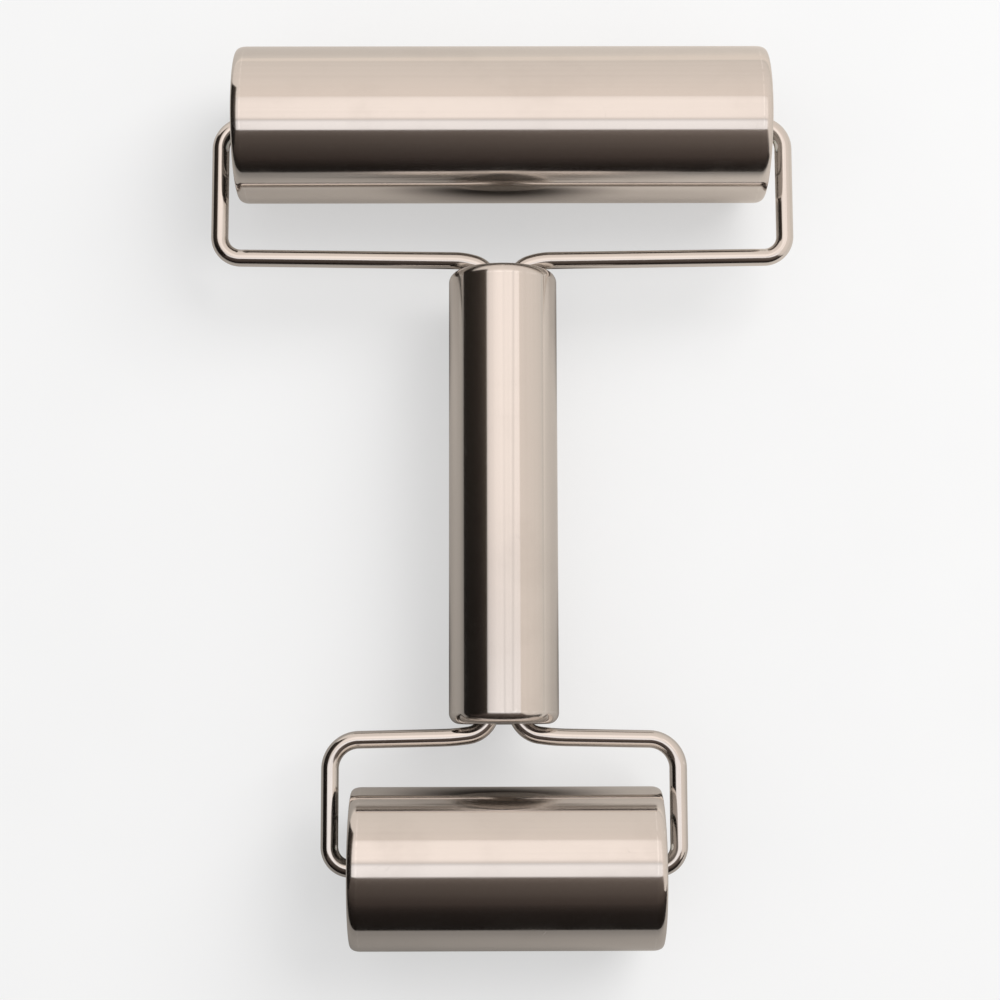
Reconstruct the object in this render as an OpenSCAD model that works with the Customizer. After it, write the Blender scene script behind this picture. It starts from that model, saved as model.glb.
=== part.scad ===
// Double-ended hand roller: a long and a short steel roller, each in a bent rod
// yoke, at the two ends of one tubular handle. It lies on its rollers: the floor
// is Z = 0, +Y runs along the handle to the long roller, X runs along the rollers.

/* [Rollers] */
// Outer diameter of both rollers
roller_d = 32; // [28:0.1:40]
// Length of the long roller over its end caps
long_roller_len = 108.7; // [80:0.1:140]
// Length of the short roller over its end caps
short_roller_len = 61.4; // [45:0.1:78]
// Distance between the two roller axes
axle_spacing = 151.8; // [150:0.1:180]
// Wall thickness of the roller tubes
roller_wall = 0.8; // [0.6:0.1:1.2]
// Length of the rounding at a roller's end rim
roller_rim_len = 1.9; // [0.8:0.1:2.2]
// How much smaller the rounding makes the roller at its end, on the radius
roller_rim_drop = 1; // [0.6:0.1:1.2]
// How far the long roller has slid to the right on its stubs
long_roller_float = -0.15; // [-0.15:0.05:0.4]
// How far the short roller has slid to the right on its stubs
short_roller_float = 0.4; // [-0.4:0.05:0.4]

/* [Handle] */
// Outer diameter of the handle tube
handle_d = 22; // [20:0.5:26]
// Length of the handle over its end caps
handle_len = 92; // [70:1:94]
// How far the middle of the handle lies towards the long roller
handle_shift = -1.5; // [-2:0.5:1]
// Wall thickness of the handle tube
handle_wall = 0.8; // [0.6:0.1:1.2]
// Rounding of the handle's end rims
handle_rim_r = 2.2; // [1.4:0.1:2.6]

/* [Yokes] */
// Diameter of the yoke rod
rod_d = 3.5; // [3:0.1:3.8]
// Gap between the long roller's end and each leg of its yoke, with the roller in the middle
long_leg_gap = 2.05; // [2.05:0.05:3.5]
// Gap between the short roller's end and each leg of its yoke, with the roller in the middle
short_leg_gap = 2.2; // [2.2:0.05:3.5]
// Height of a yoke's shoulder above the end of the handle, to the rod's centre
shoulder_rise = 2.65; // [2.4:0.05:3.2]
// Distance between the two runs of rod inside the handle
tang_spacing = 5; // [4.8:0.1:6]
// Length of rod inside the handle
tang_len = 26; // [22:1:30]

/* [Long yoke bends] */
// Slope of the long yoke's arms, in degrees
long_arm_slope = 0.8; // [0:0.1:1.5]
// Distance of the long yoke's shoulder from the middle
long_shoulder_x = 7.9; // [7.9:0.1:10]
// Angle between the long yoke's shoulder and a straight line across, in degrees
long_shoulder_angle = 17; // [12:1:17]
// Bend radius where the long yoke leaves the handle
long_neck_r = 4.5; // [3.5:0.1:4.5]
// Radius of the long yoke's easy bend at the shoulder
long_shoulder_r = 14; // [6:1:14]
// Bend radius at the long yoke's outer corners
long_corner_r = 4.4; // [3.5:0.1:5]
// Bend radius where the long yoke turns in to the roller
long_axle_r = 5.2; // [4.6:0.1:5.2]

/* [Short yoke bends] */
// Slope of the short yoke's arms, in degrees
short_arm_slope = 1.2; // [0:0.1:1.5]
// Distance of the short yoke's shoulder from the middle
short_shoulder_x = 9.9; // [9.9:0.1:11]
// Angle between the short yoke's shoulder and a straight line across, in degrees
short_shoulder_angle = 8; // [7:0.5:9]
// Bend radius where the short yoke leaves the handle
short_neck_r = 5.4; // [4:0.1:5.4]
// Radius of the short yoke's easy bend at the shoulder
short_shoulder_r = 40; // [10:1:40]
// Bend radius at the short yoke's outer corners
short_corner_r = 5.8; // [4:0.1:6]
// Bend radius where the short yoke turns in to the roller
short_axle_r = 4.3; // [3.8:0.1:4.8]

/* [Bushes] */
// Running clearance between an axle stub and its bush, on the radius
bush_clearance = 0.05; // [0.03:0.01:0.09]
// Wall thickness of a bush
bush_wall = 1.6; // [1.2:0.1:2]
// Length of a bush under its flange
bush_len = 5.2; // [4:0.1:6]
// Thickness of a bush's flange
bush_flange = 0.8; // [0.6:0.1:0.8]

/* [Hidden] */
$fn = 72;

steel = [0.80, 0.76, 0.72];
dark_steel = [0.55, 0.52, 0.50];
nylon = [0.88, 0.87, 0.84];

roller_r = roller_d / 2;
handle_r = handle_d / 2;
rod_r = rod_d / 2;
axle_y = axle_spacing / 2;
axle_z = roller_r;
handle_front_y = handle_shift + handle_len / 2;
handle_rear_y = handle_shift - handle_len / 2;
tang_x = tang_spacing / 2;

// Pressed sheet of the roller end caps and the handle caps
sheet = 0.8;
cap_skirt = 5;
// The dished middle of a roller cap, which gives the yoke's bend its room
dish_depth = 2.5;
dish_r = 9.4;
dish_slant = 1;
bush_r = rod_r + bush_clearance + bush_wall;
flange_r = bush_r + 1.2;
// The axle stub ends a little past the bush
stub_past_bush = 1.5;
stub_depth = dish_depth + bush_len + stub_past_bush;

// The slot that both runs of rod share in a handle cap, and the weld that closes it
slot_half_w = 3.4;
slot_r = rod_r + 0.5;
plug_len = 8;
plug_depth = 7.5;

// How far a straight run reaches into a bend, and how much thicker the bend is
bend_overlap = 0.1;
bend_swell = 0.005;
arc_step = 7.5;

// A solid of revolution about the rollers' direction: profile in (radius, X)
module turned_x() {
  rotate([0, 90, 0]) rotate_extrude() children();
}

// A solid of revolution about the handle's direction: profile in (radius, Y)
module turned_y() {
  rotate([-90, 0, 0]) rotate_extrude() children();
}

// Quarter of an ellipse about (x, y), from straight up round to +X
function quarter(x, y, rx, ry) = [for (a = [90 : -arc_step : 0]) [x + rx * cos(a), y + ry * sin(a)]];

// A straight round rod between two points of the plane Z = 0
module rod_run(a, b) {
  d = b - a;
  translate([a[0], a[1], 0])
    rotate([0, 90, atan2(d[1], d[0])])
      cylinder(r = rod_r, h = norm(d));
}

function unit(v) = v / norm(v);
function cross_z(a, b) = a[0] * b[1] - a[1] * b[0];
// Angle turned at a corner, positive to the left
function turn_at(p, c, n) = atan2(cross_z(c - p, n - c), (c - p) * (n - c));
// Length of straight rod that a bend of radius r takes from each side of its corner
function tangent_len(p, c, n, r) = r * tan(abs(turn_at(p, c, n)) / 2);

// One bend: part of a ring between the tangent points on both sides of corner c.
// It is a hair thicker than the straight runs, whose ends reach inside it.
module rod_bend(p, c, n, r) {
  turn = turn_at(p, c, n);
  side = sign(turn);
  back = unit(c - p);
  start = c - back * tangent_len(p, c, n, r);
  middle = start + [-back[1], back[0]] * side * r;
  first = atan2(start[1] - middle[1], start[0] - middle[0]);
  translate([middle[0], middle[1], 0])
    rotate([0, 0, turn > 0 ? first : first - abs(turn)])
      rotate_extrude(angle = abs(turn)) translate([r, 0]) circle(r = rod_r + bend_swell);
}

// A rod along the corners p, with a true bend of its own radius at each inner one
module bent_rod(p, r) {
  last = len(p) - 1;
  cut = [for (i = [0 : last]) i == 0 || i == last ? 0 : tangent_len(p[i - 1], p[i], p[i + 1], r[i])];
  for (i = [0 : last - 1]) {
    along = unit(p[i + 1] - p[i]);
    from = i == 0 ? 0 : cut[i] - bend_overlap;
    to = i == last - 1 ? 0 : cut[i + 1] - bend_overlap;
    rod_run(p[i] + along * from, p[i + 1] - along * to);
  }
  for (i = [1 : last - 1]) rod_bend(p[i - 1], p[i], p[i + 1], r[i]);
}

// Half of a yoke's corners, from the axle stub to the rod's turn inside the handle.
// s is +1 for the long yoke at the front and -1 for the short one at the rear.
function half_yoke(s, roller_len, leg_gap, end_y, slope, shoulder_x, shoulder_angle) =
  let (
    leg_x = roller_len / 2 + leg_gap + rod_r,
    shoulder_y = end_y + s * shoulder_rise,
    foot_y = shoulder_y + s * (leg_x - shoulder_x) * tan(slope),
    neck_y = shoulder_y - s * (shoulder_x - tang_x) * tan(shoulder_angle)
  )
  [
    [roller_len / 2 - stub_depth, s * axle_y],
    [leg_x, s * axle_y],
    [leg_x, foot_y],
    [shoulder_x, shoulder_y],
    [tang_x, neck_y],
    [tang_x, end_y - s * tang_len]
  ];

function mirrored(p) = [for (i = [len(p) - 1 : -1 : 0]) [-p[i][0], p[i][1]]];
function reversed(v) = [for (i = [len(v) - 1 : -1 : 0]) v[i]];

// A whole yoke: the two halves meet in a hairpin turn inside the handle
module yoke(half, r) {
  hairpin_r = tang_x - 0.05;
  radii = concat(r, [hairpin_r]);
  color(steel)
    translate([0, 0, axle_z])
      bent_rod(concat(half, mirrored(half)), concat([0], radii, reversed(radii), [0]));
}

module long_yoke() {
  half = half_yoke(1, long_roller_len, long_leg_gap, handle_front_y, long_arm_slope, long_shoulder_x, long_shoulder_angle);
  yoke(half, [long_axle_r, long_corner_r, long_shoulder_r, long_neck_r]);
}

module short_yoke() {
  half = half_yoke(-1, short_roller_len, short_leg_gap, handle_rear_y, short_arm_slope, short_shoulder_x, short_shoulder_angle);
  yoke(half, [short_axle_r, short_corner_r, short_shoulder_r, short_neck_r]);
}

module handle_tube() {
  tube_len = handle_len - 2 * handle_rim_r;
  color(steel)
    translate([0, handle_shift - tube_len / 2, axle_z])
      turned_y() translate([handle_r - handle_wall, 0]) square([handle_wall, tube_len]);
}

// The oblong hole for both runs of rod, long in X, through a cap's flat end
module rod_slot(depth) {
  for (side = [-1, 1]) translate([side * slot_half_w, 0, 0]) cylinder(r = slot_r, h = depth);
  translate([-slot_half_w, -slot_r, 0]) cube([2 * slot_half_w, 2 * slot_r, depth]);
}

// Handle cap with its flat end at Z = 0 and its skirt pointing down
module handle_cap_shape() {
  inner_r = handle_r - handle_wall;
  flat_r = handle_r - handle_rim_r;
  skirt_r = inner_r - sheet;
  difference() {
    rotate_extrude()
      polygon(concat([[0, 0]], quarter(flat_r, -handle_rim_r, handle_rim_r, handle_rim_r), [
        [inner_r, -handle_rim_r], [inner_r, -handle_rim_r - cap_skirt],
        [skirt_r, -handle_rim_r - cap_skirt], [skirt_r, -2 * sheet],
        [skirt_r - sheet, -sheet], [0, -sheet]
      ]));
    translate([0, 0, -2 * sheet]) rod_slot(3 * sheet);
  }
}

// Puts a shape whose end face is Z = 0 on the handle's front or rear end
module at_handle_end(s) {
  translate([0, s > 0 ? handle_front_y : handle_rear_y, axle_z]) rotate([s > 0 ? -90 : 90, 0, 0]) children();
}

module front_handle_cap() {
  color(steel) at_handle_end(1) handle_cap_shape();
}

module rear_handle_cap() {
  color(steel) at_handle_end(-1) handle_cap_shape();
}

// Plug pressed into the tube, holding both runs of rod straight
module tang_plug_shape() {
  translate([0, 0, -plug_depth - plug_len])
    difference() {
      cylinder(r = handle_r - handle_wall, h = plug_len);
      for (side = [-1, 1])
        translate([side * tang_x, 0, -1]) cylinder(r = rod_r, h = plug_len + 2);
    }
}

module front_tang_plug() {
  color(dark_steel) at_handle_end(1) tang_plug_shape();
}

module rear_tang_plug() {
  color(dark_steel) at_handle_end(-1) tang_plug_shape();
}

// Weld metal that fills a cap's slot around the rods
module front_weld() {
  color(dark_steel)
    difference() {
      at_handle_end(1) translate([0, 0, -sheet]) rod_slot(sheet);
      long_yoke();
    }
}

module rear_weld() {
  color(dark_steel)
    difference() {
      at_handle_end(-1) translate([0, 0, -sheet]) rod_slot(sheet);
      short_yoke();
    }
}

// Roller shell between its two caps
module roller_tube(roller_len, float_x, y) {
  tube_len = roller_len - 2 * roller_rim_len;
  color(steel)
    translate([float_x - tube_len / 2, y, axle_z])
      turned_x() translate([roller_r - roller_wall, 0]) square([roller_wall, tube_len]);
}

// Roller end cap: rounded rim, flat ring, dished middle and a drawn collar for the bush.
// The outer face is X = 0 and the skirt points to -X.
module roller_cap_shape() {
  skirt_r = roller_r - roller_wall;
  flat_r = roller_r - roller_rim_drop;
  collar_r = bush_r + sheet;
  collar_end = dish_depth + bush_len - 1;
  turned_x()
    polygon(concat(quarter(flat_r, -roller_rim_len, roller_rim_drop, roller_rim_len), [
      [skirt_r, -roller_rim_len], [skirt_r, -roller_rim_len - cap_skirt],
      [skirt_r - sheet, -roller_rim_len - cap_skirt], [skirt_r - sheet, -sheet],
      [dish_r + dish_slant + sheet / 2, -sheet], [dish_r + sheet / 2, -dish_depth - sheet],
      [collar_r, -dish_depth - sheet], [collar_r, -collar_end], [bush_r, -collar_end],
      [bush_r, -dish_depth], [dish_r, -dish_depth], [dish_r + dish_slant, 0]
    ]));
}

// Flanged bush in a cap's collar, bored for the axle stub
module bush_shape() {
  bore_r = rod_r + bush_clearance;
  turned_x()
    polygon([
      [bore_r, -dish_depth - bush_len], [bush_r, -dish_depth - bush_len],
      [bush_r, -dish_depth], [flange_r, -dish_depth],
      [flange_r, -dish_depth + bush_flange], [bore_r, -dish_depth + bush_flange]
    ]);
}

// Puts a shape whose outer face is X = 0 on the left or right end of a roller
module at_roller_end(side, roller_len, float_x, y) {
  translate([float_x + side * roller_len / 2, y, axle_z]) mirror([side < 0 ? 1 : 0, 0, 0]) children();
}

module long_roller_tube() { roller_tube(long_roller_len, long_roller_float, axle_y); }
module long_roller_left_cap() { color(steel) at_roller_end(-1, long_roller_len, long_roller_float, axle_y) roller_cap_shape(); }
module long_roller_right_cap() { color(steel) at_roller_end(1, long_roller_len, long_roller_float, axle_y) roller_cap_shape(); }
module long_roller_left_bush() { color(nylon) at_roller_end(-1, long_roller_len, long_roller_float, axle_y) bush_shape(); }
module long_roller_right_bush() { color(nylon) at_roller_end(1, long_roller_len, long_roller_float, axle_y) bush_shape(); }

module short_roller_tube() { roller_tube(short_roller_len, short_roller_float, -axle_y); }
module short_roller_left_cap() { color(steel) at_roller_end(-1, short_roller_len, short_roller_float, -axle_y) roller_cap_shape(); }
module short_roller_right_cap() { color(steel) at_roller_end(1, short_roller_len, short_roller_float, -axle_y) roller_cap_shape(); }
module short_roller_left_bush() { color(nylon) at_roller_end(-1, short_roller_len, short_roller_float, -axle_y) bush_shape(); }
module short_roller_right_bush() { color(nylon) at_roller_end(1, short_roller_len, short_roller_float, -axle_y) bush_shape(); }

long_yoke();
short_yoke();
handle_tube();
front_handle_cap();
rear_handle_cap();
front_tang_plug();
rear_tang_plug();
front_weld();
rear_weld();
long_roller_tube();
long_roller_left_cap();
long_roller_right_cap();
long_roller_left_bush();
long_roller_right_bush();
short_roller_tube();
short_roller_left_cap();
short_roller_right_cap();
short_roller_left_bush();
short_roller_right_bush();
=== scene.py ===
"""Looks of a double-ended steel hand roller: two polished rollers in bent rod yokes on one tubular handle."""

import math

import bpy
import numpy as np
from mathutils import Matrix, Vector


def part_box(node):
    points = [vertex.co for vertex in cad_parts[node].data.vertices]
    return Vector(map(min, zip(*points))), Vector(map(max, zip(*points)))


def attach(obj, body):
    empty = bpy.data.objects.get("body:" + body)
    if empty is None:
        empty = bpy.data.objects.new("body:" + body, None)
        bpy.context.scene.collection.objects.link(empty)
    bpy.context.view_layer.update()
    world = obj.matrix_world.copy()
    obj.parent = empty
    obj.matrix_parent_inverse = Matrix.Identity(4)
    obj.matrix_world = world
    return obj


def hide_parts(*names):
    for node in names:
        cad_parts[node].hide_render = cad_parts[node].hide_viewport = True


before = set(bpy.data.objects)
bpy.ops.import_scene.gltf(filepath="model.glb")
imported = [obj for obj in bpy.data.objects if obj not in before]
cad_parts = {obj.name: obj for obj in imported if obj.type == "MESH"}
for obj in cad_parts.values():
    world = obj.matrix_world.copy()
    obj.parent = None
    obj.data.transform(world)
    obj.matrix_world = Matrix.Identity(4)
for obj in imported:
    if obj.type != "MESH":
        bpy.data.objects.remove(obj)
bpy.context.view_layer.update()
yoke_low, yoke_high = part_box("long_yoke")
grip_low, grip_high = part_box("handle_tube")

MM = 0.001
AROUND = 256  # steps round a roller, the handle or a cap
ROD_AROUND = 48  # steps round a rod
SHARP = math.radians(35)  # edges sharper than this show as edges

ROD_R = (yoke_high.z - yoke_low.z) / 2
AXLE_Z = (grip_low.z + grip_high.z) / 2  # height of both axles and of the handle's middle

ROLLERS = ("long_roller", "short_roller")
SIDES = {"left": -1, "right": 1}
END_SIGN = {"front": 1, "rear": -1}

# How each yoke is bent: radii in millimetres, slopes in degrees, in the order of the rod's corners
YOKES = {
    "long_yoke": dict(
        end="front", roller="long_roller", axle_r=5.2, corner_r=4.4, shoulder_r=14, neck_r=4.5,
        slope=0.8, shoulder_x=7.9, shoulder_angle=17,
    ),
    "short_yoke": dict(
        end="rear", roller="short_roller", axle_r=4.3, corner_r=5.8, shoulder_r=40, neck_r=5.4,
        slope=1.2, shoulder_x=9.9, shoulder_angle=8,
    ),
}
SHOULDER_RISE = 2.65 * MM  # from the handle's end to the middle of the rod at the shoulder
TANG_X = 2.5 * MM  # the rod's two runs inside the handle lie this far from the middle
STUB_DEPTH = 9.2 * MM  # how far an axle stub reaches into its roller
SHEET = 0.8 * MM  # thickness of all the caps and tubes
RIM_DROP = 1 * MM  # how much a roller's rim comes in at its end, on the radius
RUNNING_ROOM = 0.05 * MM  # between an axle stub and its bush, on the radius
BUSH_WALL = 1.6 * MM


# ---------------------------------------------------------------- shapes


def rounded(corners, step=math.radians(6)):
    """A closed outline from corners (x, y, fillet radius). Each fillet is an arc that touches both
    sides: it starts r * tan(turn / 2) before the corner, and its middle is square to the side there.
    A point set a little way back from each arc keeps the shading of the flats true."""
    pts = np.array([c[:2] for c in corners], float)
    out = []
    for i, (_, _, r) in enumerate(corners):
        p, c, n = pts[i - 1], pts[i], pts[(i + 1) % len(pts)]
        a, b = (c - p) / np.linalg.norm(c - p), (n - c) / np.linalg.norm(n - c)
        turn = math.atan2(a[0] * b[1] - a[1] * b[0], a @ b)
        if r == 0 or abs(turn) < 1e-6:
            out.append(c[None])
            continue
        cut = r * math.tan(abs(turn) / 2)
        start = c - a * cut
        middle = start + np.array([-a[1], a[0]]) * math.copysign(r, turn)
        first = math.atan2(*(start - middle)[::-1])
        angle = first + turn * np.linspace(0, 1, max(2, math.ceil(abs(turn) / step)) + 1)
        arc = middle + r * np.stack([np.cos(angle), np.sin(angle)], 1)
        back = min(0.15 * MM, 0.4 * max(0.0, np.linalg.norm(c - p) - cut))
        ahead = min(0.15 * MM, 0.4 * max(0.0, np.linalg.norm(n - c) - cut))
        out += [(start - a * back)[None], arc, (c + b * (cut + ahead))[None]]
    return np.concatenate(out)


def densify(outline, longest=6 * MM):
    """The same closed outline with its long sides cut into equal steps."""
    out = []
    for a, b in zip(outline, np.roll(outline, -1, 0)):
        steps = max(1, math.ceil(np.linalg.norm(b - a) / longest))
        out.append(a + (b - a) * (np.arange(steps) / steps)[:, None])
    return np.concatenate(out)


def tube_outline(r, start, end):
    """A plain tube wall, with points 0.2 and 0.6 mm in from each outer edge to hold the shading there."""
    near = [k * MM for k in (0.2, 0.6)]
    outer = [start, *(start + k for k in near), *(end - k for k in reversed(near)), end]
    return np.array([(r - SHEET, start), *((r, at) for at in outer), (r - SHEET, end)])


def grid_faces(rows, cols, close_rows):
    """Quads between neighbouring rings of a grid. Columns always close, rows only if asked."""
    i = np.arange(rows if close_rows else rows - 1)[:, None]
    j = np.arange(cols)[None]
    ni, nj = (i + 1) % rows, (j + 1) % cols
    quads = np.stack([i * cols + j, i * cols + nj, ni * cols + nj, ni * cols + j], -1)
    return quads.reshape(-1, 4)


def signed_volume(verts, quads):
    """Sum of the tetrahedra from the origin to each half of each quad: positive if faces point out."""
    p = verts[quads]
    first = np.einsum("ij,ij->i", p[:, 0], np.cross(p[:, 1], p[:, 2])).sum()
    second = np.einsum("ij,ij->i", p[:, 0], np.cross(p[:, 2], p[:, 3])).sum()
    return (first + second) / 6


def make_piece(name, verts, quads, tris=None, place=None):
    """Puts the arrays into a mesh object at the origin, with faces pointing outwards."""
    tris = np.zeros((0, 3), int) if tris is None else tris
    closed = np.concatenate([quads, np.column_stack([tris, tris[:, 2]])]) if len(tris) else quads
    if signed_volume(verts - verts.mean(0), closed) < 0:
        quads, tris = quads[:, ::-1], tris[:, ::-1]
    mesh = bpy.data.meshes.new(name)
    mesh.from_pydata(verts.tolist(), [], quads.tolist() + tris.tolist())
    mesh.shade_smooth()
    mesh.set_sharp_from_angle(angle=SHARP)
    if place is not None:
        layer = mesh.attributes.new("worked_place", "FLOAT_VECTOR", "POINT")
        layer.data.foreach_set("vector", place.astype(np.float32).ravel())
    obj = bpy.data.objects.new(name, mesh)
    bpy.context.scene.collection.objects.link(obj)
    return obj


def turned(name, outline, axis, y, z):
    """A closed outline of (radius, distance along) turned about a line along X at (y, z), or along Y
    at (x = 0, z): a point is the axis point plus radius * (sin t, cos t) in the plane square to the axis.
    worked_place holds its distance along the outline, from the innermost point, and its place across."""
    outline = densify(outline)
    outline = np.roll(outline, -int(outline[:, 0].argmin()), 0)
    walked = np.concatenate([[0], np.cumsum(np.linalg.norm(np.diff(outline, axis=0), axis=1))])
    t = np.linspace(0, 2 * math.pi, AROUND, endpoint=False)[None]
    r, along = outline[:, :1], outline[:, 1:] + 0 * t
    across, up = r * np.sin(t), r * np.cos(t)
    verts = np.stack([along, y + across, z + up] if axis == "x" else [across, along, z + up], -1)
    place = np.stack([walked[:, None] + 0 * t, across, up], -1)
    return make_piece(name, verts.reshape(-1, 3), grid_faces(len(outline), AROUND, True), place=place)


def rod_path(corners, radii, bend_step=math.radians(3), run_step=3 * MM):
    """Points and directions along a rod with a true arc at each inner corner: straight runs between
    the arcs, and on an arc the start direction turned by an even share of the whole bend."""
    corners = np.array(corners)
    points, ways = [], []

    def run(a, b, way):
        steps = max(2, math.ceil(np.linalg.norm(b - a) / run_step))
        points.append(a + (b - a) * np.linspace(0, 1, steps, endpoint=False)[:, None])
        ways.append(np.tile(way, (steps, 1)))

    at = corners[0]
    for p, c, n, r in zip(corners, corners[1:], corners[2:], radii):
        a, b = (c - p) / np.linalg.norm(c - p), (n - c) / np.linalg.norm(n - c)
        turn = math.atan2(a[0] * b[1] - a[1] * b[0], a @ b)
        start = c - a * r * math.tan(abs(turn) / 2)
        side = np.array([-a[1], a[0]]) * math.copysign(r, turn)
        run(at, start, a)
        angle = turn * np.linspace(0, 1, math.ceil(abs(turn) / bend_step), endpoint=False)[:, None]
        ways.append(np.cos(angle) * a + np.sin(angle) * np.array([-a[1], a[0]]))
        points.append(start + side - np.cos(angle) * side + np.sin(np.abs(angle)) * r * a)
        at = c + b * r * math.tan(abs(turn) / 2)
    run(at, corners[-1], (corners[-1] - at) / np.linalg.norm(corners[-1] - at))
    points.append(corners[-1][None])
    ways.append(ways[-1][-1:])
    return np.concatenate(points), np.concatenate(ways)


def swept_rod(name, points, ways, radius, z, chamfer=0.35 * MM):
    """A round rod along a flat path: a ring is the path point plus radius * (cos t * side + sin t * up).
    Each end closes in a chamfer and a flat. worked_place holds each point's place on the straightened
    rod."""
    along = np.concatenate([[0], np.cumsum(np.linalg.norm(np.diff(points, axis=0), axis=1))])
    total = along[-1]
    s = np.unique(np.concatenate([along, [chamfer, total - chamfer]]))
    p = np.stack([np.interp(s, along, points[:, k]) for k in (0, 1)], 1)
    w = np.stack([np.interp(s, along, ways[:, k]) for k in (0, 1)], 1)
    w /= np.linalg.norm(w, axis=1)[:, None]
    r = radius - np.clip(chamfer - np.minimum(s, total - s), 0, None)
    t = np.linspace(0, 2 * math.pi, ROD_AROUND, endpoint=False)[None]
    side, up = r[:, None] * np.cos(t), r[:, None] * np.sin(t)
    verts = np.stack([p[:, :1] - w[:, 1:] * side, p[:, 1:] + w[:, :1] * side, z + up], -1).reshape(-1, 3)
    place = np.stack([s[:, None] + 0 * side, side, up], -1).reshape(-1, 3)
    rings, last = len(s), (len(s) - 1) * ROD_AROUND
    verts = np.concatenate([verts, [[*p[0], z], [*p[-1], z]]])
    place = np.concatenate([place, [[0, 0, 0], [total, 0, 0]]])
    j = np.arange(ROD_AROUND)
    nj = (j + 1) % ROD_AROUND
    first_end = np.stack([nj, j, 0 * j + rings * ROD_AROUND], 1)
    last_end = np.stack([last + j, last + nj, 0 * j + rings * ROD_AROUND + 1], 1)
    tris = np.concatenate([first_end, last_end])
    return make_piece(name, verts, grid_faces(rings, ROD_AROUND, False), tris, place)


def slot_outline(half_w, r, t):
    """The oblong slot's edge at the angles t: a circle of radius r, each half of it moved outwards by
    half_w, where the move turns over quickly but smoothly at the middle."""
    return np.stack([r * np.sin(t) + half_w * np.clip(np.sin(t) * 6, -1, 1), r * np.cos(t)], 1)


# ---------------------------------------------------------------- shader groups


def new_group(name, *outputs):
    """A shader node group that takes a place, Vector, and puts out the named masks."""
    group = bpy.data.node_groups.new(name, "ShaderNodeTree")
    group.interface.new_socket("Vector", in_out="INPUT", socket_type="NodeSocketVector")
    for label in outputs:
        group.interface.new_socket(label, in_out="OUTPUT", socket_type="NodeSocketFloat")
    return group, group.nodes.new("NodeGroupInput"), group.nodes.new("NodeGroupOutput")


def math_node(tree, operation, a, b=None, clamp=False):
    """A Math node fed with sockets or plain numbers."""
    node = tree.nodes.new("ShaderNodeMath")
    node.operation, node.use_clamp = operation, clamp
    for slot, value in enumerate((a, b)):
        if value is None:
            continue
        if isinstance(value, (int, float)):
            node.inputs[slot].default_value = value
        else:
            tree.links.new(value, node.inputs[slot])
    return node.outputs[0]


def weighted_sum(tree, *terms, clamp=False):
    """Each socket times its weight, added up. Clamping holds every sum between 0 and 1."""
    total = math_node(tree, "MULTIPLY", *terms[0])
    for socket, weight in terms[1:]:
        total = math_node(tree, "ADD", total, math_node(tree, "MULTIPLY", socket, weight), clamp=clamp)
    return total


def noise(tree, vector, scale, detail=2.0, rough=0.5):
    """The grey of a noise pattern, with about scale spots to each unit of the vector."""
    node = tree.nodes.new("ShaderNodeTexNoise")
    node.inputs["Scale"].default_value = scale
    node.inputs["Detail"].default_value = detail
    node.inputs["Roughness"].default_value = rough
    tree.links.new(vector, node.inputs["Vector"])
    return node.outputs["Fac"]


def stretched(tree, vector, scale):
    """The vector with each axis scaled by its own amount."""
    node = tree.nodes.new("ShaderNodeVectorMath")
    node.operation = "MULTIPLY"
    node.inputs[1].default_value = scale
    tree.links.new(vector, node.inputs[0])
    return node.outputs[0]


def level_range(tree, value, low, high, to_low=0.0, to_high=1.0):
    """The value eased from low..high to to_low..to_high, and held at the ends."""
    node = tree.nodes.new("ShaderNodeMapRange")
    node.interpolation_type = "SMOOTHSTEP"
    for label, number in (("From Min", low), ("From Max", high), ("To Min", to_low), ("To Max", to_high)):
        node.inputs[label].default_value = number
    tree.links.new(value, node.inputs["Value"])
    return node.outputs["Result"]


def build_polish_lines():
    """Fine polishing lines round the first axis, and faint drawing lines along it. The lines are noise
    squeezed hard along one axis and hardly at all along the others."""
    group, entry, out = new_group("polish_lines", "Rings", "Runs")
    rings = noise(group, stretched(group, entry.outputs[0], (9000, 90, 90)), 1, 3, 0.6)
    runs = noise(group, stretched(group, entry.outputs[0], (6, 1400, 1400)), 1, 2, 0.55)
    group.links.new(rings, out.inputs["Rings"])
    group.links.new(runs, out.inputs["Runs"])
    return group


def build_handling_marks():
    """Cloudy smudges from handling, and hair scratches: the thin edges of a squeezed cell pattern,
    kept only where a slow noise is high."""
    group, entry, out = new_group("handling_marks", "Smudge", "Scratch")
    cloud = noise(group, entry.outputs[0], 55, 4, 0.6)
    group.links.new(level_range(group, cloud, 0.42, 0.72), out.inputs["Smudge"])
    cells = group.nodes.new("ShaderNodeTexVoronoi")
    cells.feature = "DISTANCE_TO_EDGE"
    cells.inputs["Scale"].default_value = 1
    bent = stretched(group, entry.outputs[0], (90, 420, 300))
    group.links.new(bent, cells.inputs["Vector"])
    thin = level_range(group, cells.outputs["Distance"], 0.0, 0.012, 1.0, 0.0)
    kept = level_range(group, noise(group, entry.outputs[0], 130, 2), 0.61, 0.72)
    group.links.new(math_node(group, "MULTIPLY", thin, kept), out.inputs["Scratch"])
    return group


def build_edge_wear():
    """How much a convex edge has been rubbed bright: Pointiness above flat, broken up by noise."""
    group, entry, out = new_group("edge_wear", "Wear")
    geometry = group.nodes.new("ShaderNodeNewGeometry")
    edge = level_range(group, geometry.outputs["Pointiness"], 0.51, 0.58)
    broken = level_range(group, noise(group, entry.outputs[0], 900, 3), 0.35, 0.6)
    group.links.new(math_node(group, "MULTIPLY", edge, broken), out.inputs["Wear"])
    return group


GROUPS = {"polish": build_polish_lines(), "marks": build_handling_marks(), "wear": build_edge_wear()}


# ---------------------------------------------------------------- materials

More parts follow.
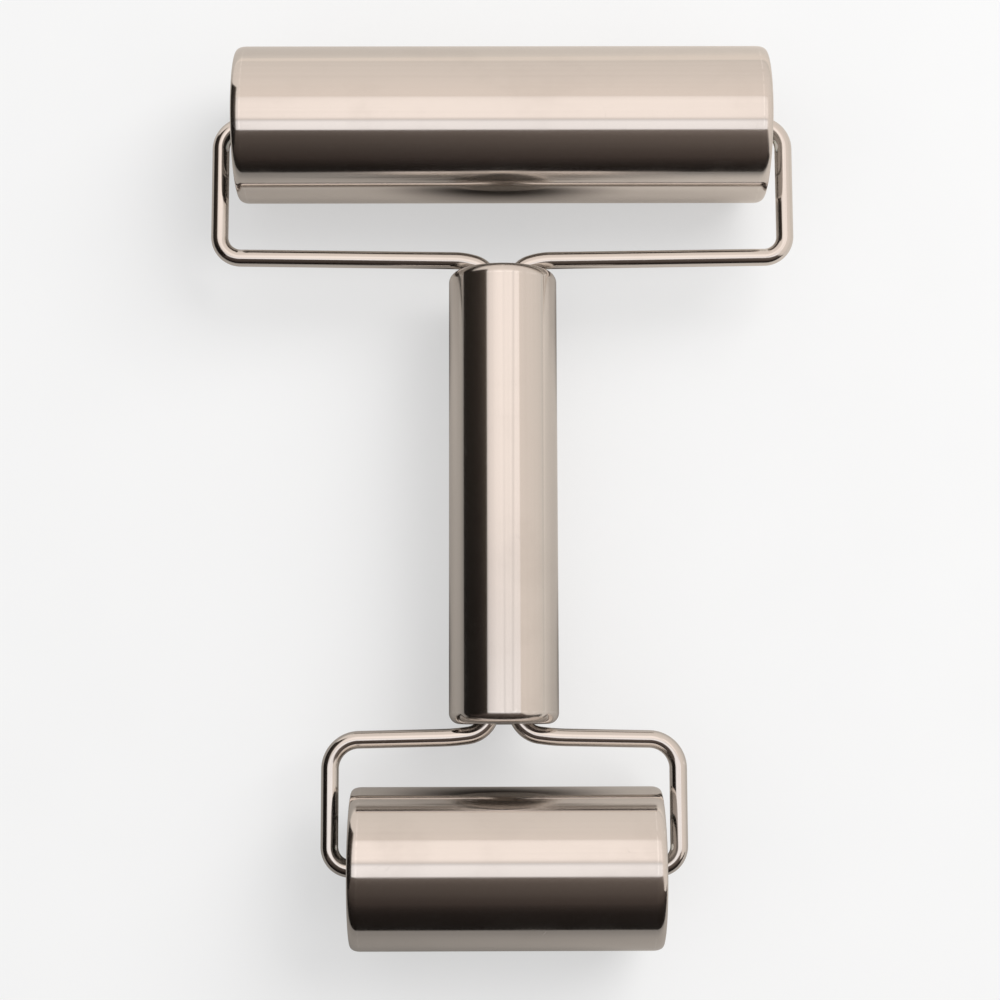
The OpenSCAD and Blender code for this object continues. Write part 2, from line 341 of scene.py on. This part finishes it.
SMEAR = 0.97  # how strongly fine lines round a tube stretch its reflections along it
QUARTER_TURN = 0.25  # of a whole turn
RUBBED_BRIGHT = (0.86, 0.84, 0.81)  # colour of a worn edge


def new_material(name):
    """A material with its node tree and its main shader."""
    mat = bpy.data.materials.new(name)
    mat.use_nodes = True
    tree = mat.node_tree
    return mat, tree, tree.nodes["Principled BSDF"]


def add_group(tree, key, vector):
    """One of the shared groups, placed in a material."""
    node = tree.nodes.new("ShaderNodeGroup")
    node.node_tree = GROUPS[key]
    tree.links.new(vector, node.inputs["Vector"])
    return node


def mixed_colour(tree, factor, a, b):
    """Colour a where the factor is 0 and b where it is 1. Both are sockets or plain colours."""
    node = tree.nodes.new("ShaderNodeMix")
    node.data_type = "RGBA"
    for slot, value in ((6, a), (7, b)):
        if isinstance(value, tuple):
            node.inputs[slot].default_value = (*value, 1)
        else:
            tree.links.new(value, node.inputs[slot])
    tree.links.new(factor, node.inputs[0])
    return node.outputs[2]


def surface_vector(tree, turn=(0, 0, 0), attribute=None):
    """Object coordinates, or a piece's own attribute, with the lines' axis brought to X."""
    if attribute:
        node = tree.nodes.new("ShaderNodeAttribute")
        node.attribute_name = attribute
        return node.outputs["Vector"]
    coords = tree.nodes.new("ShaderNodeTexCoord")
    mapping = tree.nodes.new("ShaderNodeMapping")
    mapping.inputs["Rotation"].default_value = turn
    tree.links.new(coords.outputs["Object"], mapping.inputs["Vector"])
    return mapping.outputs["Vector"]


def polished_steel(name, colours, roughness, line_height, run_height, round_axis=None, worn=0.5, **where):
    """Stainless steel as it leaves the polishing wheel, from a bright and a dull colour. Lines feed the
    bump, smudges and lines the roughness, and smudges and drawing lines tint the metal a little. Steel
    polished round an axis smears what it mirrors along that axis."""
    mat, tree, shader = new_material(name)
    if round_axis:
        tangent = tree.nodes.new("ShaderNodeTangent")
        tangent.direction_type, tangent.axis = "RADIAL", round_axis
        tree.links.new(tangent.outputs[0], shader.inputs["Tangent"])
        shader.inputs["Anisotropic"].default_value = SMEAR
        shader.inputs["Anisotropic Rotation"].default_value = QUARTER_TURN
    vector = surface_vector(tree, **where)
    lines, marks = add_group(tree, "polish", vector), add_group(tree, "marks", vector)
    wear = add_group(tree, "wear", vector)
    tint = weighted_sum(tree, (marks.outputs["Smudge"], 0.35), (lines.outputs["Runs"], 0.45), clamp=True)
    worn_off = math_node(tree, "MULTIPLY", wear.outputs["Wear"], worn)
    base = mixed_colour(tree, worn_off, mixed_colour(tree, tint, *colours), RUBBED_BRIGHT)
    tree.links.new(base, shader.inputs["Base Color"])
    shader.inputs["Metallic"].default_value = 1
    rough = weighted_sum(
        tree, (marks.outputs["Smudge"], 0.05), (lines.outputs["Rings"], 0.05),
        (marks.outputs["Scratch"], 0.12),
    )
    tree.links.new(math_node(tree, "ADD", rough, roughness - 0.04), shader.inputs["Roughness"])
    height = weighted_sum(
        tree, (lines.outputs["Rings"], line_height), (lines.outputs["Runs"], run_height),
        (marks.outputs["Scratch"], -line_height),
    )
    bump = tree.nodes.new("ShaderNodeBump")
    bump.inputs["Strength"].default_value = 1
    bump.inputs["Distance"].default_value = MM
    tree.links.new(height, bump.inputs["Height"])
    tree.links.new(bump.outputs["Normal"], shader.inputs["Normal"])
    return mat


def weld_metal():
    """Dressed weld: grey-brown metal, dull, with fine lumps and heat tint in patches."""
    mat, tree, shader = new_material("dressed_weld")
    vector = surface_vector(tree)
    patches = level_range(tree, noise(tree, vector, 700, 3), 0.35, 0.65)
    base = mixed_colour(tree, patches, (0.46, 0.41, 0.36), (0.30, 0.25, 0.22))
    tree.links.new(base, shader.inputs["Base Color"])
    shader.inputs["Metallic"].default_value = 1
    rough = level_range(tree, noise(tree, vector, 2500, 3), 0.3, 0.7, 0.3, 0.55)
    tree.links.new(rough, shader.inputs["Roughness"])
    bump = tree.nodes.new("ShaderNodeBump")
    bump.inputs["Distance"].default_value = 0.15 * MM
    tree.links.new(noise(tree, vector, 1400, 4, 0.6), bump.inputs["Height"])
    tree.links.new(bump.outputs["Normal"], shader.inputs["Normal"])
    return mat


def moulded_nylon():
    """Natural nylon: off-white with faint clouding, a fine moulded grain and grease-darkened patches."""
    mat, tree, shader = new_material("moulded_nylon")
    vector = surface_vector(tree)
    cloud = level_range(tree, noise(tree, vector, 260, 4), 0.35, 0.7)
    base = mixed_colour(tree, cloud, (0.80, 0.785, 0.735), (0.66, 0.64, 0.59))
    tree.links.new(base, shader.inputs["Base Color"])
    rough = level_range(tree, noise(tree, vector, 1200, 2), 0.3, 0.7, 0.38, 0.52)
    tree.links.new(rough, shader.inputs["Roughness"])
    shader.inputs["Subsurface Weight"].default_value = 0.08
    shader.inputs["Subsurface Scale"].default_value = MM
    bump = tree.nodes.new("ShaderNodeBump")
    bump.inputs["Distance"].default_value = 0.02 * MM
    tree.links.new(noise(tree, vector, 5000, 2), bump.inputs["Height"])
    tree.links.new(bump.outputs["Normal"], shader.inputs["Normal"])
    return mat


# Bright and dull colour of each finish
STEEL = (0.75, 0.715, 0.68), (0.66, 0.625, 0.59)
SATIN = (0.44, 0.42, 0.40), (0.33, 0.31, 0.29)
PLAIN = (0.5, 0.48, 0.46), (0.36, 0.34, 0.32)
TURN_Y_TO_X = (0, 0, -math.pi / 2)

MATERIALS = {
    "roller_steel": polished_steel("roller_steel", STEEL, 0.15, 0.0006, 0.002, "X"),
    "roller_cap_steel": polished_steel("roller_cap_steel", STEEL, 0.12, 0.0006, 0.002, "X"),
    "handle_steel": polished_steel("handle_steel", STEEL, 0.15, 0.0006, 0.002, "Y", turn=TURN_Y_TO_X),
    "yoke_rod": polished_steel("yoke_rod", STEEL, 0.10, 0.0006, 0.003, attribute="worked_place"),
    "satin_steel": polished_steel(
        "satin_steel", SATIN, 0.24, 0.005, 0.001, worn=0.0, attribute="worked_place"
    ),
    "inner_steel": polished_steel("inner_steel", PLAIN, 0.3, 0.002, 0.004, turn=TURN_Y_TO_X),
    "weld_steel": weld_metal(),
    "bush_nylon": moulded_nylon(),
}


def finish_piece(obj, slot, body, *nodes):
    """Gives a new piece its material and its body, and hides the CAD nodes it stands for."""
    obj.data.materials.append(MATERIALS[slot])
    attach(obj, body)
    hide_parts(*nodes)


def satin_inside(cap, r, centre, axes):
    """The faces of a cap whose middle lies less than r from its axis are satin instead of polished."""
    cap.data.materials.append(MATERIALS["satin_steel"])
    middle = np.empty(3 * len(cap.data.polygons), np.float32)
    cap.data.polygons.foreach_get("center", middle)
    inside = np.hypot(*(middle.reshape(-1, 3)[:, axes] - centre).T) < r
    cap.data.polygons.foreach_set("material_index", inside.astype(np.int32))


# ---------------------------------------------------------------- rollers


def round_box(node, axis):
    """Middle (y, z), outer radius, and start and end along the axis, of a round CAD node. The radius is
    half the smaller of its two breadths."""
    low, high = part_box(node)
    k = 0 if axis == "x" else 1
    r = min(high.z - low.z, high[1 - k] - low[1 - k]) / 2
    return (low.y + high.y) / 2, (low.z + high.z) / 2, r, low[k], high[k]


def build_roller_tube(roller):
    """The shell: a plain tube between the two caps."""
    y, z, r, start, end = round_box(f"{roller}_tube", "x")
    shell = turned(f"{roller}_shell", tube_outline(r, start, end), "x", y, z)
    finish_piece(shell, "roller_steel", roller, f"{roller}_tube")


def build_roller_cap(roller, side):
    """A pressed cap turned from its outline: a rim that is a quarter of a long ellipse, a flat ring, a
    dished middle, and a drawn collar that holds the bush. Inside the rim it is satin."""
    node = f"{roller}_{side}_cap"
    y, z, r, low, high = round_box(node, "x")
    s = SIDES[side]
    face, skirt = (high, low) if s > 0 else (low, high)
    _, _, _, tube_low, tube_high = round_box(f"{roller}_tube", "x")
    rim = abs(face - (tube_high if s > 0 else tube_low))
    bush_r = ROD_R + RUNNING_ROOM + BUSH_WALL
    dish, dish_r, slant = 2.5 * MM, 9.4 * MM, 1 * MM
    collar = 6.7 * MM
    inner, skirt_r = r - SHEET, r - 2 * SHEET
    turn = np.linspace(math.pi / 2, 0, 20)
    outline = [(r - RIM_DROP + RIM_DROP * math.cos(a), rim - rim * math.sin(a), 0) for a in turn]
    outline += [
        (inner, rim, 0), (inner, abs(skirt - face), 0.2 * MM),
        (skirt_r, abs(skirt - face), 0.2 * MM), (skirt_r, SHEET, 0.3 * MM),
        (dish_r + slant + SHEET / 2, SHEET, 0.9 * MM), (dish_r + SHEET / 2, dish + SHEET, 0.3 * MM),
        (bush_r + SHEET, dish + SHEET, 0.3 * MM), (bush_r + SHEET, collar, 0.1 * MM),
        (bush_r, collar, 0.1 * MM), (bush_r, dish, 0.3 * MM), (dish_r, dish, 0.8 * MM),
        (dish_r + slant, 0, 0.5 * MM),
    ]
    outline = [(a, face - s * b, f) for a, b, f in outline]
    cap = turned(f"{roller}_{side}_end", rounded(outline), "x", y, z)
    finish_piece(cap, "roller_cap_steel", roller, node)
    satin_inside(cap, r - RIM_DROP - 0.1 * MM, (y, z), (1, 2))


def build_bush(roller, side):
    """A flanged bush turned from its outline, with its corners broken, bored for the axle stub."""
    node = f"{roller}_{side}_bush"
    y, z, flange_r, low, high = round_box(node, "x")
    s = SIDES[side]
    outer, inner = (high, low) if s > 0 else (low, high)
    bore, flange = ROD_R + RUNNING_ROOM, 0.8 * MM
    barrel_r = bore + BUSH_WALL
    outline = [
        (bore, outer, 0.15 * MM), (flange_r, outer, 0.25 * MM), (flange_r, outer - s * flange, 0.1 * MM),
        (barrel_r, outer - s * flange, 0), (barrel_r, inner, 0.3 * MM), (bore, inner, 0.2 * MM),
    ]
    finish_piece(turned(f"{roller}_{side}_bearing", rounded(outline), "x", y, z), "bush_nylon", roller, node)


# ---------------------------------------------------------------- handle


def build_handle_tube():
    """The grip: a plain tube between the two caps."""
    _, z, r, start, end = round_box("handle_tube", "y")
    tube = turned("handle_grip_tube", tube_outline(r, start, end), "y", 0, z)
    finish_piece(tube, "handle_steel", "frame", "handle_tube")


def build_handle_cap(end):
    """A pressed cap whose innermost ring is the oblong slot for the rods. The rings run from the slot
    over the flat, round the rim, down the skirt and back up inside to the slot again. The rim is a
    quarter circle. The flat and the inside are satin."""
    node = f"{end}_handle_cap"
    _, z, r, low, high = round_box(node, "y")
    s = END_SIGN[end]
    face, skirt = (high, low) if s > 0 else (low, high)
    _, _, _, tube_low, tube_high = round_box("handle_tube", "y")
    rim = abs(face - (tube_high if s > 0 else tube_low))
    half_w, slot_r = 3.4 * MM, ROD_R + 0.5 * MM
    flat_r, depth = r - rim, abs(skirt - face)
    steps = np.linspace(0, math.pi / 2, 18)
    rim_rings = [(flat_r + rim * math.sin(a), rim - rim * math.cos(a)) for a in steps]
    outer = [(flat_r - 0.4 * MM, 0), *rim_rings, (r - SHEET, rim)]
    inner = [(r - SHEET, depth), (r - 2 * SHEET, depth), (r - 2 * SHEET, 2 * SHEET), (r - 3 * SHEET, SHEET)]
    t = np.linspace(0, 2 * math.pi, AROUND, endpoint=False)
    slot = slot_outline(half_w, slot_r, t)
    rings = [(slot, 0)]
    rings += [(q * np.stack([np.sin(t), np.cos(t)], 1), d) for q, d in outer + inner]
    rings += [(slot, SHEET)]
    flat = np.stack([p for p, _ in rings])
    along = np.array([face - s * d for _, d in rings])
    verts = np.stack([flat[..., 0], along[:, None] + 0 * t, z + flat[..., 1]], -1)
    walked = np.concatenate([[0], np.linalg.norm(np.diff(flat, axis=0), axis=2).mean(1).cumsum()])
    place = np.stack([walked[:, None] + 0 * t, flat[..., 0], flat[..., 1]], -1)
    faces = grid_faces(len(rings), AROUND, True)
    cap = make_piece(f"handle_{end}_end", verts.reshape(-1, 3), faces, place=place)
    finish_piece(cap, "handle_steel", "frame", node)
    satin_inside(cap, flat_r, (0, z), (0, 2))


# ---------------------------------------------------------------- yokes


def build_yoke(node):
    """One bent rod: axle stub, leg, arm, shoulder and neck, a hairpin turn inside the handle, and the
    same again mirrored."""
    bend = YOKES[node]
    low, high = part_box(node)
    cap_low, cap_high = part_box(f"{bend['end']}_handle_cap")
    s = END_SIGN[bend["end"]]
    end_y = cap_high.y if s > 0 else cap_low.y
    axle_y, axle_z, _, _, right_end = round_box(f"{bend['roller']}_right_cap", "x")
    _, _, _, left_end, _ = round_box(f"{bend['roller']}_left_cap", "x")
    half_roller = (right_end - left_end) / 2
    leg_x, shoulder_x = high.x - ROD_R, bend["shoulder_x"] * MM
    shoulder_y = end_y + s * SHOULDER_RISE
    foot_y = shoulder_y + s * (leg_x - shoulder_x) * math.tan(math.radians(bend["slope"]))
    neck_y = shoulder_y - s * (shoulder_x - TANG_X) * math.tan(math.radians(bend["shoulder_angle"]))
    turn_y = low.y + ROD_R if s > 0 else high.y - ROD_R
    half = [
        (half_roller - STUB_DEPTH, axle_y), (leg_x, axle_y), (leg_x, foot_y),
        (shoulder_x, shoulder_y), (TANG_X, neck_y), (TANG_X, turn_y),
    ]
    hairpin_r = TANG_X - 0.05 * MM
    radii = [bend[k] * MM for k in ("axle_r", "corner_r", "shoulder_r", "neck_r")] + [hairpin_r]
    whole = half + [(-x, y) for x, y in reversed(half)]
    points, ways = rod_path(whole, radii + radii[::-1])
    obj = swept_rod(f"{node}_rod", points, ways, ROD_R, axle_z)
    finish_piece(obj, "yoke_rod", "frame", node)


# ---------------------------------------------------------------- studio

FLOOR_HALF = 12.0
EYE_WASH = 0.45  # how far the floor's shadows are washed out to the eye
NEAR_GLOW = 0.2  # how far the floor near the tool glows in mirrors, on the right and behind: painted light
HANDLE_END_Y = 0.036  # where mirrors see the floor darkest, under the handle's ends: a painted contact shadow
PAINTED_SHADOW_RADII = 0.006, 0.030  # radii where that painted shadow starts to fade and where it ends
# colour of that painted contact shadow
PAINTED_SHADOW_COLOUR = (0.05, 0.042, 0.037)

PANEL_NEAR, PANEL_FAR = (-0.159, 0.525), (0.218, 0.326)  # distance back and height over the axles
PANEL_SPREAD = 0.683  # half the panel's width, as a share of its height over the axles
SEAM_Y = 0.0014
PINK, CREAM = (1.24, 1.18, 1.17), (1.24, 1.115, 1.045)

CAMERA_PLACE = (-0.00283, -0.05342, 0.40172)  # across, back, and height over the axles
CAMERA_TURN = (7.234, -0.306, -0.128)  # degrees


def add_stage_mesh(name, verts, quads, mat):
    """A piece of the studio, which isn't part of the object."""
    mesh = bpy.data.meshes.new(name)
    mesh.from_pydata(verts, [], quads)
    obj = bpy.data.objects.new(name, mesh)
    bpy.context.scene.collection.objects.link(obj)
    mesh.materials.append(mat)
    return obj


def is_mirror_ray(tree):
    """1 for what a shiny surface mirrors, 0 for everything else."""
    return tree.nodes.new("ShaderNodeLightPath").outputs["Is Glossy Ray"]


def object_axis(tree, axis):
    """One of the Object coordinates."""
    coords = tree.nodes.new("ShaderNodeTexCoord")
    split = tree.nodes.new("ShaderNodeSeparateXYZ")
    tree.links.new(coords.outputs["Object"], split.inputs[0])
    return split.outputs[axis]


def colour_steps(tree, value, stops):
    """A colour ramp with the given (place, colour) stops."""
    node = tree.nodes.new("ShaderNodeValToRGB")
    ramp = node.color_ramp
    ramp.elements[0].position, ramp.elements[0].color = stops[0][0], (*stops[0][1], 1)
    ramp.elements[1].position, ramp.elements[1].color = stops[-1][0], (*stops[-1][1], 1)
    for place, colour in stops[1:-1]:
        ramp.elements.new(place).color = (*colour, 1)
    tree.links.new(value, node.inputs[0])
    return node.outputs[0]


def build_floor():
    """A pale floor, washed out a little so shadows stay soft. Mirrors see it greyer than the eye does, with
    painted shade and light: darkest on the left, in front and under the handle's ends, where painted contact
    shadows lie, and far off on the right and behind a painted glow as light as the room."""
    mat, tree, shader = new_material("pale_floor")
    tree.nodes.remove(shader)
    # Painted shade and light that mirrors see on the floor: darker on the left and in front, lighter on the
    # right and behind.
    side = math_node(tree, "ADD", object_axis(tree, "X"), object_axis(tree, "Y"))
    across = math_node(tree, "ADD", math_node(tree, "MULTIPLY", side, 2.0), 0.5)
    grey = colour_steps(tree, across, [
        (0.0, (0.32, 0.30, 0.28)), (0.42, (0.41, 0.385, 0.36)),
        (0.6, (0.62, 0.575, 0.535)), (1.0, (0.78, 0.72, 0.66)),
    ])
    # Painted light that mirrors see on the floor near the tool, on the right and behind.
    painted_near_light = math_node(tree, "MULTIPLY", level_range(tree, side, -0.2, 0.02), NEAR_GLOW)
    # Painted contact shadow under each of the handle's ends, which mirrors see. The painted light near the
    # tool is kept out of it.
    for y in (-HANDLE_END_Y, HANDLE_END_Y):
        away = tree.nodes.new("ShaderNodeVectorMath")
        away.operation = "DISTANCE"
        away.inputs[1].default_value = (0, y, 0)
        tree.links.new(tree.nodes.new("ShaderNodeTexCoord").outputs["Object"], away.inputs[0])
        clear = level_range(tree, away.outputs["Value"], *PAINTED_SHADOW_RADII)
        grey = mixed_colour(tree, clear, PAINTED_SHADOW_COLOUR, grey)
        painted_near_light = math_node(tree, "MULTIPLY", painted_near_light, clear)
    place = tree.nodes.new("ShaderNodeTexCoord").outputs["Object"]
    grain = level_range(tree, noise(tree, place, 30, 4), 0.2, 0.8)
    pale = mixed_colour(tree, grain, (0.86, 0.86, 0.86), (0.88, 0.88, 0.88))
    mirror = is_mirror_ray(tree)
    diffuse, glow = tree.nodes.new("ShaderNodeBsdfDiffuse"), tree.nodes.new("ShaderNodeEmission")
    tree.links.new(mixed_colour(tree, mirror, pale, grey), diffuse.inputs["Color"])
    # Painted light: far off, mirrors see the floor glow as light as the room. The eye sees a white glow,
    # which washes out the floor's shadows.
    right = level_range(tree, object_axis(tree, "X"), 0.08, 0.4)
    painted_far_light = mixed_colour(tree, right, (0.94, 0.84, 0.755), (0.70, 0.65, 0.60))
    tree.links.new(mixed_colour(tree, mirror, (1.0, 1.0, 1.0), painted_far_light), glow.inputs["Color"])
    far = math_node(tree, "MAXIMUM", level_range(tree, side, 0.16, 0.3), painted_near_light)
    wash = tree.nodes.new("ShaderNodeMix")
    tree.links.new(mirror, wash.inputs[0])
    wash.inputs[2].default_value = EYE_WASH
    tree.links.new(far, wash.inputs[3])
    blend = tree.nodes.new("ShaderNodeMixShader")
    tree.links.new(wash.outputs[0], blend.inputs[0])
    tree.links.new(diffuse.outputs[0], blend.inputs[1])
    tree.links.new(glow.outputs[0], blend.inputs[2])
    tree.links.new(blend.outputs[0], tree.nodes["Material Output"].inputs["Surface"])
    corners = [(x * FLOOR_HALF, y * FLOOR_HALF, 0) for x, y in ((-1, -1), (1, -1), (1, 1), (-1, 1))]
    add_stage_mesh("floor", corners, [(0, 1, 2, 3)], mat)


def glow_sheet(name, points, colours):
    """A sheet that only mirrors see: a grid of points, with a colour for each that it glows with."""
    rows, cols = points.shape[:2]
    i, j = np.arange(rows - 1)[:, None], np.arange(cols - 1)[None]
    quads = np.stack([i * cols + j, i * cols + j + 1, (i + 1) * cols + j + 1, (i + 1) * cols + j], -1)
    mat, tree, shader = new_material(name)
    tree.nodes.remove(shader)
    read, glow = tree.nodes.new("ShaderNodeAttribute"), tree.nodes.new("ShaderNodeEmission")
    read.attribute_name = "glow"
    tree.links.new(read.outputs["Color"], glow.inputs["Color"])
    tree.links.new(glow.outputs[0], tree.nodes["Material Output"].inputs["Surface"])
    mat.cycles.emission_sampling = "NONE"
    sheet = add_stage_mesh(name, points.reshape(-1, 3).tolist(), quads.reshape(-1, 4).tolist(), mat)
    layer = sheet.data.attributes.new("glow", "FLOAT_COLOR", "POINT")
    opaque = np.concatenate([colours, np.ones((rows, cols, 1))], -1)
    layer.data.foreach_set("color", opaque.astype(np.float32).ravel())
    sheet.visible_camera = sheet.visible_shadow = sheet.visible_diffuse = False


def steps_between(at, places, values):
    """Values given at a few places, joined by straight lines, at each of the wanted places."""
    return np.stack([np.interp(at, places, np.array(values)[:, k]) for k in range(len(values[0]))], -1)


def bump_at(x, middle, width):
    """A bell curve: 1 at the middle, e to the power of minus the square of the distance in widths."""
    return np.exp(-(((x - middle) / width) ** 2))


def build_panel():
    """The soft light overhead, a tilted sheet, wider where it is higher and dimmer along its left side:
    pinkish near the viewer, cream beyond a soft darker seam, and two faint seams the other way."""
    y = np.linspace(PANEL_NEAR[0], PANEL_FAR[0], 181)
    height = np.interp(y, *zip(PANEL_NEAR, PANEL_FAR))[:, None]
    share = np.linspace(-1, 1, 121)[None]
    x = share * PANEL_SPREAD * height
    points = np.stack(np.broadcast_arrays(x, y[:, None], height + AXLE_Z), -1)
    near = PANEL_NEAR[0]
    along = steps_between(
        y, (near, near + 0.014, SEAM_Y - 0.004, SEAM_Y + 0.004, 0.19, 0.218),
        (np.multiply(PINK, 0.62), np.multiply(PINK, 0.94), PINK, CREAM, CREAM, np.multiply(CREAM, 0.9)),
    )
    fade = 1 - 0.30 * bump_at(y, SEAM_Y, 0.020)[:, None]
    nearer = np.interp(y, (0, 0.04), (1, 0.3))[:, None]
    fade = fade * (1 - 0.17 * nearer * bump_at(x, 0.010, 0.016) - 0.19 * bump_at(x, 0.150, 0.018))
    fade = fade * np.interp(share, (-1, -0.9, -0.8, -0.6, -0.4, -0.25), (0.55, 0.74, 0.83, 0.87, 0.96, 1))
    glow_sheet("soft_panel", points, along[:, None] * fade[..., None])


def build_front_dark():
    """Painted reflection of the dark side in front: a sheet that glows faintly and that only mirrors see. It
    bellies out from the panel's near edge and comes back in almost to the floor, painted darker all the way
    down and a little lighter to the right."""
    path = [
        (-0.160, 0.5245), (-0.206, 0.427), (-0.291, 0.319), (-0.231, 0.150), (-0.159, 0.050), (-0.155, 0.009),
    ]
    shade = [
        (0.185, 0.152, 0.135), (0.118, 0.094, 0.081), (0.082, 0.064, 0.055),
        (0.054, 0.040, 0.034), (0.015, 0.011, 0.009), (0.008, 0.006, 0.005),
    ]
    at = np.linspace(0, len(path) - 1, 61)
    y, z = steps_between(at, range(len(path)), path).T
    x = np.linspace(-0.7, 0.38, 25)
    points = np.stack(np.broadcast_arrays(x[None], y[:, None], z[:, None] + AXLE_Z), -1)
    lighter = 1 + 0.35 * np.clip(x / 0.15, -0.5, 1)
    down = steps_between(at, range(len(path)), shade)
    glow_sheet("front_dark", points, down[:, None] * lighter[None, :, None])


def build_left_dark():
    """Painted reflection of the dark side on the left: a sheet that glows faintly and that only mirrors see.
    It leans out from the panel's left edge and is painted darkest low down and towards the viewer."""
    y = np.linspace(-0.7, 0.31, 41)
    top = np.interp(y, *zip(PANEL_NEAR, PANEL_FAR)) - np.clip(y - PANEL_FAR[0], 0, None) * 0.5
    rise = np.linspace(1, 0, 31)
    x = -PANEL_SPREAD * top - np.interp(rise, (0, 0.45, 0.8, 1), (0.2, 0.15, 0.06, 0.001))[:, None]
    shade = steps_between(rise, (0, 0.45, 0.62, 0.8, 0.93, 1), [
        (0.018, 0.014, 0.012), (0.021, 0.017, 0.013), (0.027, 0.020, 0.016),
        (0.044, 0.034, 0.027), (0.075, 0.059, 0.047), (0.15, 0.13, 0.11),
    ])
    z = rise[:, None] * (top + AXLE_Z)
    points = np.stack(np.broadcast_arrays(x, y[None], z), -1)
    glow_sheet("left_dark", points, shade[:, None] * np.clip(0.5 + 5 * y, 0.4, 1.1)[None, :, None])


def build_world():
    """Surroundings: mirrors see a beige room on the right and behind, and dark on the left and in
    front. Everything else is lit by an even pale sky, a little lighter to the eye."""
    world = bpy.data.worlds.new("studio")
    bpy.context.scene.world = world
    world.use_nodes = True
    tree = world.node_tree
    coords = tree.nodes.new("ShaderNodeTexCoord")
    split = tree.nodes.new("ShaderNodeSeparateXYZ")
    tree.links.new(coords.outputs["Generated"], split.inputs[0])
    x, y, z = split.outputs
    bright = level_range(tree, weighted_sum(tree, (x, 0.6), (y, 0.8)), -0.10, 0.08)
    dark = colour_steps(
        tree, z, [(0.0, (0.016, 0.011, 0.009)), (0.3, (0.020, 0.014, 0.012)), (0.9, (0.11, 0.088, 0.075))]
    )
    room = colour_steps(tree, weighted_sum(tree, (z, 0.8), (y, 0.16)), [
        (0.0, (0.76, 0.69, 0.63)), (0.22, (0.84, 0.755, 0.69)),
        (0.6, (0.90, 0.80, 0.73)), (0.8, (0.97, 0.85, 0.77)),
    ])
    seen = mixed_colour(tree, is_mirror_ray(tree), (0.62, 0.62, 0.62), mixed_colour(tree, bright, dark, room))
    eye = tree.nodes.new("ShaderNodeLightPath").outputs["Is Camera Ray"]
    sky = mixed_colour(tree, eye, seen, (0.9, 0.9, 0.9))
    tree.links.new(sky, tree.nodes["Background"].inputs["Color"])


def add_soft_light(name, place, turn, size, power, colour):
    """A large square light that brightens the floor without showing in the metal."""
    light = bpy.data.lights.new(name, "AREA")
    light.shape, light.size, light.energy, light.color = "SQUARE", size, power, colour
    obj = bpy.data.objects.new(name, light)
    obj.location, obj.rotation_euler = place, [math.radians(a) for a in turn]
    obj.visible_glossy = False
    obj.visible_camera = False
    bpy.context.scene.collection.objects.link(obj)


def add_camera():
    """Looking almost straight down, a little from the front."""
    cam = bpy.data.cameras.new("camera")
    cam.lens, cam.sensor_width = 72, 36
    obj = bpy.data.objects.new("camera", cam)
    across, back, height = CAMERA_PLACE
    obj.location = (across, back, AXLE_Z + height)
    obj.rotation_mode = "ZYX"
    obj.rotation_euler = [math.radians(a) for a in CAMERA_TURN]
    bpy.context.scene.collection.objects.link(obj)
    bpy.context.scene.camera = obj


# ---------------------------------------------------------------- build

add_camera()
for roller in ROLLERS:
    build_roller_tube(roller)
    for side in SIDES:
        build_roller_cap(roller, side)
        build_bush(roller, side)
build_handle_tube()
for end in END_SIGN:
    build_handle_cap(end)
    for node, slot in ((f"{end}_tang_plug", "inner_steel"), (f"{end}_weld", "weld_steel")):
        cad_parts[node].data.materials.clear()
        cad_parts[node].data.materials.append(MATERIALS[slot])
for node in YOKES:
    build_yoke(node)

build_floor()
build_panel()
build_front_dark()
build_left_dark()
build_world()
add_soft_light(
    "side_fill", place=(0.85, 0.75, 1.1), turn=(46, 0, 131), size=1.1, power=16, colour=(1.0, 0.99, 0.98)
)

scene = bpy.context.scene
scene.view_settings.view_transform = "Standard"
scene.view_settings.look = "None"
